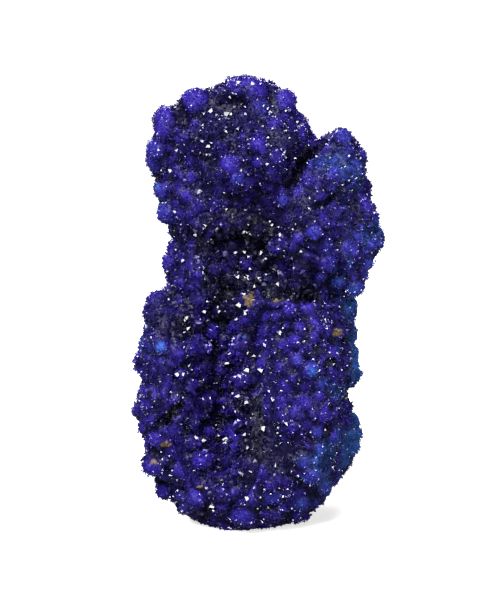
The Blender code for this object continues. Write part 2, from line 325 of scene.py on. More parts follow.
# The flat foot, the wall's edge that closes the gap to the stone, and how far in the hollow is deep
FOOT_BAND = 0.12 * MM
FOOT_FACING = 0.8
FOOT_MATRIX = 0.45
BACKED_WITHIN = 1.0 * MM
GAP_TO_CLOSE = 0.65 * MM
EDGE_BELOW_SKIN = 0.12 * MM
DEEP_FROM = 3.5 * MM

# Round heads: depths are from the solid's surface down to a small head's top
SCATTER_SOFTENING = 1
SCATTER_JITTER = 0.2
SMALLEST_HEAD = 0.38
HEADS_APART = 0.74
HEAD_CHANCE = 0.95
SMALL_HEAD_CURVE = 1.5
BALL_SUBDIVISIONS = 2
TEAL_FEWER_HEADS = 0.5
HEAD_DEPTH = (0.02 * MM, 0.35 * MM)
NAMED_HEAD_RISE = 0.3 * MM
HEAD_BRIGHTNESS = (0.25, 1.0)
HEADS_AROUND = 4
ON_HEAD_WITHIN = 1.25
HEAD_TOP_FROM = 0.1
WALL_BARE = 0.2

# Gaps and their painted shade: steps from one pixel to the next, reach in half widths, and how soon the
# painted shade is full
GAP_STEPS = 8
GAP_REACH = 1.2
GAP_PAINTED_SHADE = 1.8

# Noise: its fading, step and number of layers, how far one kind's lies from the next, and the kinds
NOISE_FADE = 1.0
NOISE_STEP = 2.0
NOISE_LAYERS = 3
NOISE_SHIFT = np.array((17.3, 5.1, 9.7))
TEAL_NOISE, STONE_MATRIX_NOISE, WALL_MATRIX_NOISE, PAINTED_SHADE_NOISE, SPECK_NOISE = range(1, 6)

# Where colours lie: proud values are shares of full violet, lighter on bulges and head tops and darker in
# gaps and dark places, partly the stone's own tone and partly painted light and shade, and patches have
# wobbly soft edges
BULGE_ROUNDS = 60
FULL_BULGE = 0.45 * MM
PROUD_LEVEL = 0.12
# How much bulges lighten and hollows darken the violet: painted shade, partly the stone's own tone
BULGE_PAINTED_SHADE = 0.35
PROUD_HEAD = 0.8
# Proud value deep in the hollow's wall: partly its own violet, partly painted light against the hollow's
# shade
DEEP_WALL_VIOLET_AND_PAINTED_LIGHT = 0.3
WALL_PROUD_HEAD = 0.55
# How much the patches of painted shade darken the violet
PAINTED_SHADE_DARKENS = 0.85
SPECK_LIFTS = 0.3
PATCH_NOISE_SIZE = 2.5 * MM
PATCH_WOBBLE = 0.35
PATCH_EDGE = 0.6
TEAL_NOISE_SIZE = 4.5 * MM
TEAL_WOBBLE = 0.8
TEAL_EDGE = 1.0
BACK_STARTS = 3 * MM
BACK_MATRIX_RADIUS = (0.5 * MM, 1.1 * MM)

# Crystals: lean, sunk part, ridge and drops are shares of a crystal's own height or width
LEAN = 0.15
SUNK = 0.5
RIDGE_LENGTH = 0.55
RHOMB_DROP = 0.55
BLADE_DROP = 0.5
ROOT_JITTER = 0.12 * MM
AXIS_JITTER = 0.34
SIZE_SPREAD = 0.28
SIZE_LIMITS = (0.5, 1.7)
FINER_ON_HEADS = 0.4
TEAL_FINER = 0.3
RECESS_DENSITY = 0.45
DENSER_ON_HEADS = 1.0
WIDTH_SHARE = (1.15, 1.8)
THICKNESS_SHARE = (0.5, 0.95)
TURNED_SIZE = 0.8
TURNED_HEIGHT = 1.0
TURNED_THICKNESS = 0.7
TURNED_PROUD = 0.2
DRUSE_GONE_ON_MATRIX = 0.9
FRONT_ENDS = 2 * MM
CROWN_STARTS = 29 * MM
MATRIX_GRAIN_FROM = 0.5
MATRIX_GRAINS_ABOVE = 1 * MM
MATRIX_GRAIN_SHARE = 0.35
MATRIX_GRAIN_SIZE = (0.25 * MM, 0.55 * MM)
MATRIX_GRAIN_SPREAD = (0.7, 1.3)
GRAIN_SUBDIVISIONS = 1
GRAIN_JITTER = 0.16

# Lights, floor and camera: the softboxes' middles are in mm
KEY_PLACE = (-130.0, -190.0, 190.0)
KEY_SIZE = 100 * MM
FILL_PLACE = (190.0, -170.0, 90.0)
FILL_SIZE = 80 * MM
BACK_PLACE = (-60.0, 230.0, 150.0)
BACK_SIZE = 160 * MM
SUN_WIDTH = math.radians(30)
SUN_PITCH = math.radians(28)
SUN_ROLL = math.radians(-14)
FLOOR_GLOW = 0.75
FLOOR_RADIUS = 4.0
FLOOR_SIDES = 128
CAMERA_NEAR = 0.01
CAMERA_FAR = 20.0

# Colour of azurite: scales are in spots a metre, and a pair is a factor and what is then added
CLOUD_SCALE = 550.0
CLOUD_DETAIL = 3.0
SPECK_SCALE = 2500.0
SPECK_DETAIL = 2.0
MIDDLE_TINT = 0.5
TINT_REACH = 0.35
CLOUD_REACH = 0.6
RECESS_REACH = 0.2
LIT_CURVE = 1.45
TEAL_BY_TINT = (0.7, 0.55)
# Teal is darker where the proud value and its painted shade are low
TEAL_BY_PROUD = (1.1, 0.5)
TEAL_BY_SPECK = (1.6, 0.2)
PAINTED_GLINT_FROM = 0.968
PAINTED_GLINT_RISE = 20.0
TAN_BY_CLOUD = (2.4, -0.7)
BARE_BY_MATRIX = (3.0, -1.2)
DULL_CURVE = 9.0
DULL_ROUGHNESS = 0.4
TEAL_ROUGHNESS = 0.08
BARE_ROUGHNESS = 0.6
AZURITE_IOR = 1.75
COLOUR_SOCKET = "NodeSocketColor"
NUMBER_SOCKET = "NodeSocketFloat"

# Finishes of azurite: colour of its recesses and of its painted shade, least roughness, specular level, size
# and tilt of its facets
FINISHES = {
    "Azurite skin": ("deep", 0.45, 0.15, 0.2 * MM, 0.6),
    "Azurite druse": ("deep", 0.1, 0.5, 0.35 * MM, 0.08),
    "Azurite hollow wall": ("clear", 0.4, 0.15, 0.2 * MM, 0.6),
    "Azurite hollow crystal": ("clear", 0.06, 0.4, 0.35 * MM, 0.08),
}

# Matrix grains and the floor's paper, with pairs as above
STAIN_DETAIL = 4.0
TAN_BY_STAIN = (1.6, -0.5)
TAN_BY_TINT = 0.5
MATRIX_FACET = 0.12 * MM
MATRIX_TILT = 0.8
MATRIX_ROUGHNESS = (0.3, 0.6)
FIBRE_SCALE = 900.0
FIBRE_DETAIL = 4.0
FIBRE_TONE = (0.04, 0.98)
PAPER_ROUGHNESS = 0.9
PAPER_SPECULAR = 0.1

# Results that functions hand on
CrystalForm = namedtuple("CrystalForm", "corners faces")
Heads = namedtuple("Heads", "middles radii outwards brightness blueness")
Growth = namedtuple("Growth", "form points tones")
Surface = namedtuple("Surface", "points normals tones")
# In a relief, dark is the gaps' painted shade and shade is the patches of painted shade
Relief = namedtuple(
    "Relief", "mesh places points normals dark foot top brightness blueness bulge shade specks")


class GeodeSizes(PropertyGroup):
    """Sizes of the stone's relief and of its crystals"""

    stone_face: FloatProperty(
        name="Stone face", description="Size of the stone's mesh faces", default=0.34 * MM, unit="LENGTH")
    wall_face: FloatProperty(
        name="Wall face", description="Size of the wall's mesh faces", default=0.28 * MM, unit="LENGTH")
    head_spacing: FloatProperty(
        name="Head spacing", description="Distance between places tried for heads", default=0.7 * MM,
        unit="LENGTH")
    head_radius: FloatProperty(
        name="Head radius", description="Radius of the largest small head", default=1.2 * MM, unit="LENGTH")
    front_crystals: IntProperty(
        name="Front crystals", description="Crystals on the front of the crown, and of the foot",
        default=26000)
    back_crystals: IntProperty(
        name="Back crystals", description="Crystals on the back of the crown, and of the foot",
        default=17000)
    hollow_crystals: IntProperty(
        name="Hollow crystals", description="Crystals in the hollow", default=13000)
    druse_height: FloatProperty(
        name="Druse height", description="Usual height of a skin crystal", default=0.25 * MM, unit="LENGTH")
    hollow_height: FloatProperty(
        name="Hollow height", description="Usual height of a crystal in the hollow", default=0.46 * MM,
        unit="LENGTH")
    back_matrix_spots: IntProperty(
        name="Matrix spots", description="Number of matrix spots on the sides and the back", default=14)


class GeodeColours(PropertyGroup):
    """Colours of the azurite and its matrix"""

    # Between deep and violet lies the proud value, partly the azurite's own tone and partly painted light and
    # shade
    violet: FloatVectorProperty(
        name="Violet", description="Heads that stand out", default=(0.037, 0.0185, 0.345), subtype="COLOR")
    deep: FloatVectorProperty(
        name="Deep", description="Crystals in recesses", default=(0.0038, 0.002, 0.035), subtype="COLOR")
    teal: FloatVectorProperty(
        name="Teal", description="Dull outer skin", default=(0.02, 0.085, 0.34), subtype="COLOR")
    # Painted glint: a pale lavender colour on a few crystals that stands in for their sparkle
    painted_glint: FloatVectorProperty(
        name="Glint", description="Pale crystals among the others", default=(0.36, 0.33, 0.68),
        subtype="COLOR")
    clear: FloatVectorProperty(
        name="Clear", description="Clear crystals in the hollow", default=(0.004, 0.003, 0.018),
        subtype="COLOR")
    matrix: FloatVectorProperty(
        name="Matrix", description="Tan matrix", default=(0.26, 0.19, 0.11), subtype="COLOR")
    rust: FloatVectorProperty(
        name="Rust", description="Brown stain in the matrix", default=(0.09, 0.045, 0.02), subtype="COLOR")


class GeodeStage(PropertyGroup):
    """Camera, lights and floor"""

    target: FloatVectorProperty(
        name="Target", description="Point that the camera looks at", default=(-1.3 * MM, 0.0, 28.9 * MM),
        subtype="TRANSLATION")
    distance: FloatProperty(
        name="Distance", description="From the camera to its target", default=221 * MM, unit="LENGTH")
    elevation: FloatProperty(
        name="Elevation", description="Camera above the horizon", default=math.radians(12), unit="ROTATION")
    lens: FloatProperty(name="Lens", description="Focal length in millimetres", default=100.0)
    floor: FloatVectorProperty(
        name="Floor", description="Pale floor", default=(0.86, 0.85, 0.84), subtype="COLOR")
    key_power: FloatProperty(
        name="Key light", description="Power of the left softbox", default=0.5, unit="POWER")
    fill_power: FloatProperty(
        name="Fill light", description="Power of the right softbox", default=0.3, unit="POWER")
    back_power: FloatProperty(
        name="Back light", description="Power of the softbox behind", default=0.9, unit="POWER")
    top_strength: FloatProperty(
        name="Top light", description="Strength of the wide overhead light", default=3.8)
    room: FloatProperty(name="Room", description="Brightness of the room round the object", default=0.02)
    floor_bounce: FloatProperty(
        name="Floor bounce", description="Share of its light that the floor sends up", default=0.1,
        subtype="FACTOR")


def random_source(piece):
    """Random numbers of the piece's own, the same on each run."""
    return np.random.default_rng(SEED + DRAWS.index(piece))


def unit(vectors):
    return vectors / np.linalg.norm(vectors, axis=-1, keepdims=True)


def smooth_step(share):
    """The share kept from 0 to 1, and eased at both ends."""
    share = np.clip(share, 0.0, 1.0)
    return share * share * (3 - 2 * share)


def read_vectors(items, name):
    values = np.empty(len(items) * 3, np.float32)
    items.foreach_get(name, values)
    return values.reshape(-1, 3).astype(float)


def corners_of(mesh):
    """The mesh's corners and their normals."""
    return read_vectors(mesh.vertices, "co"), read_vectors(mesh.vertex_normals, "vector")


def set_points(mesh, points):
    mesh.vertices.foreach_set("co", points.astype(np.float32).ravel())
    mesh.update()


def edges_of(mesh):
    edges = np.empty(len(mesh.edges) * 2, np.int32)
    mesh.edges.foreach_get("vertices", edges)
    return edges.reshape(-1, 2)


def write_tones(mesh, tones):
    """Keeps the numbers that colour the mesh, one for each corner."""
    for name, values in tones.items():
        layer = mesh.attributes.new(name, "FLOAT", "POINT")
        layer.data.foreach_set("value", values.astype(np.float32))


def read_tones(mesh):
    tones = {}
    for name in (*TONES, DEPTH, BACKED):
        values = np.empty(len(mesh.vertices), np.float32)
        mesh.attributes[name].data.foreach_get("value", values)
        tones[name] = values
    return tones


def surface_of(piece):
    """The piece's corners, their normals and their tones."""
    mesh = bpy.data.objects[piece].data
    return Surface(*corners_of(mesh), read_tones(mesh))


def tree_of(mesh):
    """The mesh's faces in a tree that rays are cast at."""
    return BVHTree.FromPolygons([v.co for v in mesh.vertices], [p.vertices for p in mesh.polygons])


def corner_tree(points):
    """The points in a tree that finds the nearest ones."""
    tree = KDTree(len(points))
    for index, point in enumerate(points):
        tree.insert(point, index)
    tree.balance()
    return tree


def noise_at(points, size, kind):
    """Soft noise from about -1 to 1 at each point, with spots of that size."""
    shift = Vector(NOISE_SHIFT * kind)
    layers = (NOISE_FADE, NOISE_STEP, NOISE_LAYERS)
    return np.array([noise.fractal(Vector(p) / size + shift, *layers) for p in points])


def placed(name, data):
    """A new object in the scene."""
    obj = bpy.data.objects.new(name, data)
    bpy.context.scene.collection.objects.link(obj)
    return obj


def remeshed(mesh, face_size, softening):
    """The mesh's form in small even faces, softened by some rounds."""
    source = placed("form", mesh)
    fuse = source.modifiers.new("Fuse", "REMESH")
    fuse.mode = "VOXEL"
    fuse.voxel_size = face_size
    soften = source.modifiers.new("Soften", "SMOOTH")
    soften.iterations = softening
    graph = bpy.context.evaluated_depsgraph_get()
    fine = bpy.data.meshes.new_from_object(source.evaluated_get(graph), depsgraph=graph)
    bpy.data.objects.remove(source)
    bpy.data.meshes.remove(mesh)
    return fine


def fine_form(node, face_size, softening):
    """The node's form in small even faces, with the edges of its flats softened."""
    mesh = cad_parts[node].data.copy()
    mesh.materials.clear()
    return remeshed(mesh, face_size, softening)


def softened(points, edges, rounds):
    """The corners after each has moved halfway to the middle of its neighbours, round after round."""
    count = len(points)
    ends = np.concatenate([edges[:, 0], edges[:, 1]])
    others = np.concatenate([edges[:, 1], edges[:, 0]])
    neighbours = np.bincount(ends, minlength=count)[:, None]
    for _ in range(rounds):
        total = np.stack([np.bincount(ends, points[others, axis], count) for axis in range(3)], axis=1)
        points = (points + total / neighbours) / 2
    return points


def bulge_of(points, normals, edges):
    """How far each corner stands out from its softened surroundings, as a share of a full bulge."""
    return ((points - softened(points, edges, BULGE_ROUNDS)) * normals).sum(axis=1) / FULL_BULGE


def camera_place(stage):
    """Where the camera stands, and its forward and upward directions."""
    forward = Vector((0, math.cos(stage.elevation), -math.sin(stage.elevation)))
    upward = Vector((0, math.sin(stage.elevation), math.cos(stage.elevation)))
    return Vector(stage.target) - forward * stage.distance, forward, upward


def sight_line(stage, across, down):
    """Start and direction of the line of sight through a pixel of the picture's frame."""
    start, forward, upward = camera_place(stage)
    focal = PICTURE_HEIGHT / SENSOR * stage.lens
    sideways = Vector((1, 0, 0)) * (across - PICTURE_WIDTH / 2) / focal
    return start, (forward + sideways + upward * (PICTURE_HEIGHT / 2 - down) / focal).normalized()


def faces_closely(points, normals, tree):
    """Whether the solid in the tree lies close in front of each corner."""
    return np.array([
        tree.ray_cast(Vector(p), Vector(n), BACKED_WITHIN)[0] is not None for p, n in zip(points, normals)])


def depth_from_skin(points):
    """How deep in the hollow each point lies: 0 beside the stone's skin, 1 from some way in."""
    stone = surface_of("stone")
    skin = corner_tree(stone.points[stone.tones[BACKED] == 0])
    away = np.array([skin.find(p)[2] for p in points])
    return smooth_step(away / DEEP_FROM)


def with_small_heads(heads, node, sizes, chance_at, random):
    """Those heads, and small ones all over the node, largest first, that crowd no other head."""
    places, outwards = corners_of(fine_form(node, sizes.head_spacing, SCATTER_SOFTENING))
    places += random.normal(0, SCATTER_JITTER * sizes.head_spacing, places.shape)
    count = len(places)
    size_share = random.random(count) ** SMALL_HEAD_CURVE
    radii = sizes.head_radius * (SMALLEST_HEAD + (1 - SMALLEST_HEAD) * size_share)
    middles = places - outwards * (radii + random.uniform(*HEAD_DEPTH, count))[:, None]
    wanted = random.random(count) < chance_at(places)
    brightness = random.uniform(*HEAD_BRIGHTNESS, count)
    heads = list(heads)
    kept = len(heads)
    kept_middles = np.concatenate([np.array([head[0] for head in heads]), np.zeros((count, 3))])
    kept_radii = np.concatenate([np.array([head[1] for head in heads]), np.zeros(count)])
    for index in np.argsort(-radii):
        away = np.linalg.norm(kept_middles[:kept] - middles[index], axis=1)
        if wanted[index] and (away > HEADS_APART * (kept_radii[:kept] + radii[index])).all():
            kept_middles[kept] = middles[index]
            kept_radii[kept] = radii[index]
            kept += 1
            heads.append((middles[index], radii[index], outwards[index], brightness[index], 0.0))
    return Heads(*(np.array(values) for values in zip(*heads)))


def ball_form(subdivisions):
    """A ball of radius 1 in flat triangles."""
    bm = bmesh.new()
    bmesh.ops.create_icosphere(bm, subdivisions=subdivisions, radius=1.0)
    corners = np.array([v.co for v in bm.verts])
    faces = [tuple(v.index for v in face.verts) for face in bm.faces]
    bm.free()
    return CrystalForm(corners, faces)


def headed_form(base, heads, face_size):
    """The base mesh and the heads' balls fused into one skin of small even faces."""
    form = ball_form(BALL_SUBDIVISIONS)
    balls = heads.middles[:, None] + form.corners[None] * heads.radii[:, None, None]
    bm = bmesh.new()
    bm.from_mesh(base)
    bm.from_mesh(joined_mesh("balls", [Growth(form, balls, {})]))
    mesh = bpy.data.meshes.new("headed")
    bm.to_mesh(mesh)
    bm.free()
    return remeshed(mesh, face_size, HEAD_SOFTENING)


def head_tones(points, heads):
    """How near the top of its head each corner is, from 0 to 1, and that head's brightness and blueness."""
    tree = corner_tree(heads.middles)
    own = np.array([
        min(tree.find_n(p, HEADS_AROUND), key=lambda hit: hit[2] - heads.radii[hit[1]])[1] for p in points])
    away = points - heads.middles[own]
    up = (away * heads.outwards[own]).sum(axis=1) / heads.radii[own]
    on_it = np.linalg.norm(away, axis=1) < ON_HEAD_WITHIN * heads.radii[own]
    top = smooth_step((up - HEAD_TOP_FROM) / (1 - HEAD_TOP_FROM))
    return np.where(on_it, top, 0.0), heads.brightness[own], heads.blueness[own]


def patch_share(points, patches, kind, noise_size=PATCH_NOISE_SIZE, wobble=PATCH_WOBBLE, edge=PATCH_EDGE):
    """How strongly soft-edged patches cover each point, from 0 to 1."""
    cover = np.zeros(len(points))
    uneven = wobble * noise_at(points, noise_size, kind)
    for middle, reach, strength in patches:
        away = np.linalg.norm(points - np.array(middle), axis=1) / reach
        cover = np.maximum(cover, strength * smooth_step((1 - away + uneven) / edge))
    return cover


def teal_at(points):
    """How strongly the dull teal skin covers each point."""
    patches = [(np.array(middle) * MM, reach * MM, strength)
               for middle, reach, strength in TEAL_PATCHES.values()]
    return patch_share(points, patches, TEAL_NOISE, TEAL_NOISE_SIZE, TEAL_WOBBLE, TEAL_EDGE)


class FrontView:
    """What the camera sees of some meshes, at the pixels of the tables above."""

    def __init__(self, stage, meshes):
        self.stage = stage
        self.trees = {name: tree_of(mesh) for name, mesh in meshes.items()}

    def seen(self, across, down):
        """The nearest point, its normal and its mesh's name on the line of sight through a pixel."""
        start, direction = sight_line(self.stage, across, down)
        nearest = None
        for name, tree in self.trees.items():
            point, normal, _, distance = tree.ray_cast(start, direction)
            if point is not None and (nearest is None or distance < nearest[3]):
                nearest = (point, normal, name, distance)
        return nearest[:3] if nearest else (None, None, None)

    def heads_on(self, node):
        """The heads seen on this node: middle, radius, outward way, brightness, blueness."""
        for across, down, radius, brightness, blueness in FRONT_HEADS.values():
            place, outward, name = self.seen(across, down)
            if name == node:
                middle = np.array(place) - np.array(outward) * (radius * MM - NAMED_HEAD_RISE)
                yield middle, radius * MM, np.array(outward), brightness, blueness

    def patches(self, table):
        """The middle, reach and strength of a table's patches, in full where it gives no strength."""
        found = []
        for across, down, reach, *strength in table.values():
            place, _, _ = self.seen(across, down)
            if place is not None:
                found.append((np.array(place), reach * MM, *(strength or [1.0])))
        return found

    def cover(self, points, table, kind):
        """How strongly a table's patches cover each point, from 0 to 1."""
        return patch_share(points, self.patches(table), kind)

    def places_along(self, pixels):
        """The places seen along a line through those pixels, in even steps."""
        for start, end in zip(pixels, pixels[1:]):
            for step in range(GAP_STEPS):
                across, down = np.array(start) + np.subtract(end, start) * (step / GAP_STEPS)
                place, _, _ = self.seen(across, down)
                if place is not None:
                    yield place

    def gap_depths(self, points):
        """How far each corner sinks into the gaps, and how deep in one it is from 0 to 1, which darkens it as
        painted shade.
        """
        tree = corner_tree(points)
        sinking = np.zeros(len(points))
        dark = np.zeros(len(points))
        for pixels, half_width, depth in FRONT_GAPS.values():
            reach = GAP_REACH * half_width * MM
            for place in self.places_along(pixels):
                for _, corner, away in tree.find_range(place, reach):
                    level = 1 - (away / reach) ** 2
                    sinking[corner] = max(sinking[corner], level * depth * MM)
                    dark[corner] = max(dark[corner], level)
        return sinking, smooth_step(dark * GAP_PAINTED_SHADE)


def front_of_solids(context):
    """The two solids as the camera sees them."""
    return FrontView(context.scene.geode_stage, {name: node.data for name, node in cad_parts.items()})


def relief_of(base, heads, face_size, front):
    """The base as a fine mesh with its heads and gaps, and what the tones of its corners follow from."""
    mesh = headed_form(base, heads, face_size)
    places, normals = corners_of(mesh)
    sinking, dark = front.gap_depths(places)
    points = places - normals * sinking[:, None]
    foot = points[:, 2] < FOOT_BAND
    points[foot, 2] = 0.0
    set_points(mesh, np.clip(points, BOX_LOW, BOX_HIGH))
    mesh.shade_smooth()
    return Relief(
        mesh, places, points, normals, dark, foot, *head_tones(points, heads),
        bulge=bulge_of(points, normals, edges_of(mesh)),
        shade=front.cover(places, FRONT_PAINTED_SHADES, PAINTED_SHADE_NOISE),
        specks=front.cover(places, FRONT_SPECKS, SPECK_NOISE))


def proud_share_with_painted_shade(relief, level, head_share):
    """How much of its full violet each corner has: most on bright heads, least in gaps and dark places,
    partly the stone's own tone and partly painted light and shade.
    """
    proud = level + BULGE_PAINTED_SHADE * relief.bulge + head_share * relief.top * relief.brightness
    proud = np.clip(proud, 0, 1) * (1 - relief.dark) * (1 - PAINTED_SHADE_DARKENS * relief.shade)
    return proud + SPECK_LIFTS * relief.specks


def away_from(points, tree, reach):
    """From 0 at the solid in the tree to 1 at that reach from it."""
    nearest = [tree.find_nearest(Vector(p), reach)[3] for p in points]
    return smooth_step(np.array([reach if away is None else away for away in nearest]) / reach)


def below_skin(points, rows, skin):
    """Moves the corners in those rows that stand out of the skin to just below it."""
    for row in rows:
        place, normal, _, _ = skin.find_nearest(Vector(points[row]))
        out = (Vector(points[row]) - place).dot(normal) + EDGE_BELOW_SKIN
        if out > 0:
            points[row] -= np.array(normal) * out
    return points


def blade_form(section, drop):
    """A prism whose top slopes down both ways from a ridge along X. Its section starts at (1, 0)."""
    count = len(section)
    foot = [(x, y, 0.0) for x, y in section]
    top = [(x, y, 1.0 - drop * abs(y)) for x, y in section]
    sides = [(i, (i + 1) % count, count + (i + 1) % count, count + i) for i in range(count)]
    near_slope = tuple(count + i for i in range(count // 2 + 1))
    far_slope = tuple(count + i % count for i in range(count // 2, count + 1))
    faces = [tuple(reversed(range(count))), *sides, near_slope, far_slope]
    return CrystalForm(np.array(foot + top), faces)


def wedge_form(ridge):
    """A four-cornered foot that closes to a ridge along X."""
    corners = [(1, 0, 0), (0, 1, 0), (-1, 0, 0), (0, -1, 0), (ridge, 0, 1), (-ridge, 0, 1)]
    faces = [(3, 2, 1, 0), (0, 1, 4), (1, 5, 4), (1, 2, 5), (2, 3, 5), (3, 4, 5), (3, 0, 4)]
    return CrystalForm(np.array(corners, float), faces)


def point_form():
    """A three-cornered foot that closes to a point, for the smallest crystals."""
    corners = [(1, 0, 0), (-0.5, 0.9, 0), (-0.5, -0.9, 0), (0, 0, 1)]
    return CrystalForm(np.array(corners, float), [(2, 1, 0), (0, 1, 3), (1, 2, 3), (2, 0, 3)])


def grain_form(random):
    """An uneven grain, with its foot at 0 and its top at 1."""
    ball = ball_form(GRAIN_SUBDIVISIONS)
    corners = ball.corners * (1 + random.normal(0, GRAIN_JITTER, (len(ball.corners), 1)))
    corners[:, 2] = (corners[:, 2] + 1) / 2
    return CrystalForm(corners, ball.faces)


POINT = point_form()
WEDGE = wedge_form(RIDGE_LENGTH)
RHOMB = blade_form([(1, 0), (0, 1), (-1, 0), (0, -1)], RHOMB_DROP)
BLADE = blade_form([(1, 0), (0.5, 1), (-0.5, 1), (-1, 0), (-0.5, -1), (0.5, -1)], BLADE_DROP)
SKIN_FORMS = ((POINT, 0.45), (WEDGE, 0.4), (RHOMB, 0.15))
HOLLOW_FORMS = ((WEDGE, 0.45), (RHOMB, 0.4), (BLADE, 0.15))


def keep_in_box(points):
    """Moves each crystal back inside the solids' box where part of it stands out."""
    low = np.maximum(np.array(BOX_LOW) - points.min(axis=1), 0)
    high = np.maximum(points.max(axis=1) - np.array(BOX_HIGH), 0)
    return points + (low - high)[:, None]


def grown(form, roots, axes, ridges, sizes, tones):
    """Copies of a form that stand on their roots: width, thickness and height are the sizes' columns."""
    axes = unit(axes)
    ridges = unit(ridges - axes * (ridges * axes).sum(axis=1, keepdims=True))
    sides = np.cross(axes, ridges)
    along, across, up = (form.corners[:, k] for k in range(3))
    along = along[None] * sizes[:, :1] / 2 + LEAN * up[None] * sizes[:, 2:]
    across = across[None] * sizes[:, 1:2] / 2
    up = (up[None] - SUNK) * sizes[:, 2:]
    points = roots[:, None] + sum(
        reach[:, :, None] * way[:, None] for reach, way in ((along, ridges), (across, sides), (up, axes)))
    return Growth(form, keep_in_box(points), tones)


def joined_mesh(name, growths):
    """One mesh of all the growths' crystals, flat-faced, with each crystal's tones on its corners."""
    growths = list(growths)
    corners, starts, loops, tones = [], [], [], {tone: [] for tone in growths[0].tones}
    first_corner = 0
    first_loop = 0
    for form, points, values in growths:
        copies, count = points.shape[:2]
        ring = np.concatenate([np.array(face) for face in form.faces])
        face_starts = np.cumsum([0] + [len(face) for face in form.faces[:-1]])
        copy = np.arange(copies)[:, None]
        corners.append(points.reshape(-1, 3))
        loops.append((ring[None] + first_corner + count * copy).ravel())
        starts.append((face_starts[None] + first_loop + len(ring) * copy).ravel())
        for tone, kept in tones.items():
            kept.append(np.repeat(values[tone], count))
        first_corner += copies * count
        first_loop += copies * len(ring)
    mesh = bpy.data.meshes.new(name)
    mesh.vertices.add(first_corner)
    mesh.vertices.foreach_set("co", np.concatenate(corners).astype(np.float32).ravel())
    mesh.loops.add(first_loop)
    mesh.loops.foreach_set("vertex_index", np.concatenate(loops).astype(np.int32))
    mesh.polygons.add(sum(len(s) for s in starts))
    mesh.polygons.foreach_set("loop_start", np.concatenate(starts).astype(np.int32))
    mesh.update(calc_edges=True)
    mesh.shade_flat()
    write_tones(mesh, {tone: np.concatenate(kept) for tone, kept in tones.items()})
    return mesh


def new_piece(name, mesh, material, slot, *nodes):
    """Adds a finished mesh as a piece of the stone, in place of the nodes that it stands for."""
    earlier = bpy.data.objects.get(name)
    if earlier is not None:
        bpy.data.objects.remove(earlier)
    mesh.materials.append(material)
    piece = placed(name, mesh)
    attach(piece, BODY)
    if nodes:
        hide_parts(*nodes)
    return piece


def pick(surface, rows):
    """The tones of those corners."""
    return {name: values[rows] for name, values in surface.tones.items()}


def growing_chance(tones):
    """How likely crystals root at each corner: seldom on matrix, never where a solid is close in front."""
    return (1 - DRUSE_GONE_ON_MATRIX * tones[MATRIX]) * (tones[BACKED] == 0)


def rooted_at(likely, count, random):
    """Corners that so many crystals are rooted at, some of them more than once."""
    return random.choice(len(likely), count, p=likely / likely.sum())


def druse_growths(surface, rows, height, random, forms):
    """Small crystals rooted at those corners, shared out among the forms by their shares."""
    count = len(rows)
    tones = pick(surface, rows)
    tones[TINT] = random.random(count)
    normals = surface.normals[rows]
    roots = surface.points[rows] + random.normal(0, ROOT_JITTER, (count, 3))
    axes = normals + random.normal(0, AXIS_JITTER, (count, 3))
    ridges = random.normal(0, 1, (count, 3))
    scale = np.exp(random.normal(0, SIZE_SPREAD, count)) * (1 - FINER_ON_HEADS * tones[PROUD_AND_PAINTED_SHADE])
    scale *= 1 - TEAL_FINER * tones[TEAL]
    heights = height * np.clip(scale, *SIZE_LIMITS)
    widths = heights * random.uniform(*WIDTH_SHARE, count)
    thicknesses = widths * random.uniform(*THICKNESS_SHARE, count)
    sizes = np.stack([widths, thicknesses, heights], axis=1)
    kind = random.choice(len(forms), count, p=[share for _, share in forms])
    for number, (form, _) in enumerate(forms):
        own = kind == number
        yield grown(form, roots[own], axes[own], ridges[own], sizes[own],
                    {name: values[own] for name, values in tones.items()})


def feed(tree, node, inputs):
    """Gives each input named a value or another node's output."""
    for socket, value in inputs.items():
        if isinstance(value, bpy.types.NodeSocket):
            tree.links.new(value, node.inputs[socket])
        else:
            node.inputs[socket].default_value = value


def put(tree, kind, inputs=None, **settings):
    """Adds a node with its settings and inputs."""
    node = tree.nodes.new(kind)
    for name, value in settings.items():
        setattr(node, name, value)
    feed(tree, node, inputs or {})
    return node


def mixed(tree, share, first, second):
    """The colour that lies a share of the way from the first to the second."""
    return put(tree, "ShaderNodeMix", {0: share, 6: first, 7: second}, data_type="RGBA").outputs[2]


def worked(tree, operation, *values, clamp=False):
    """The result of a sum on one to three numbers."""
    node = put(tree, "ShaderNodeMath", dict(enumerate(values)), operation=operation, use_clamp=clamp)
    return node.outputs[0]


def scaled(tree, value, factor, added, clamp=False):
    """The value times the factor, and what is then added."""
    return worked(tree, "MULTIPLY_ADD", value, factor, added, clamp=clamp)


def vector_worked(tree, operation, first, second):
    """A node that works on two vectors."""
    return put(tree, "ShaderNodeVectorMath", {0: first, 1: second}, operation=operation)


def dimmed(tree, colour, share):
    """The colour times a share."""
    return put(tree, "ShaderNodeVectorMath", {0: colour, "Scale": share}, operation="SCALE").outputs[0]


def cloudy(tree, scale, detail):
    """Soft noise from 0 to 1 through the object."""
    place = put(tree, "ShaderNodeTexCoord").outputs["Object"]
    return put(tree, "ShaderNodeTexNoise", {"Vector": place, "Scale": scale, "Detail": detail}).outputs[0]


def carried(tree, tone):
    """One of the numbers that the mesh carries."""
    return put(tree, "ShaderNodeAttribute", attribute_name=tone).outputs["Fac"]


def seen_or_lighting(tree, share):
    """1 where the camera looks straight at it, and the share in what it lights and mirrors."""
    straight = put(tree, "ShaderNodeLightPath").outputs["Is Camera Ray"]
    return put(tree, "ShaderNodeMapRange", {"Value": straight, "To Min": share, "To Max": 1.0}).outputs[0]


def opaque(colour):
    """The colour with full alpha."""
    return (*colour, 1.0)


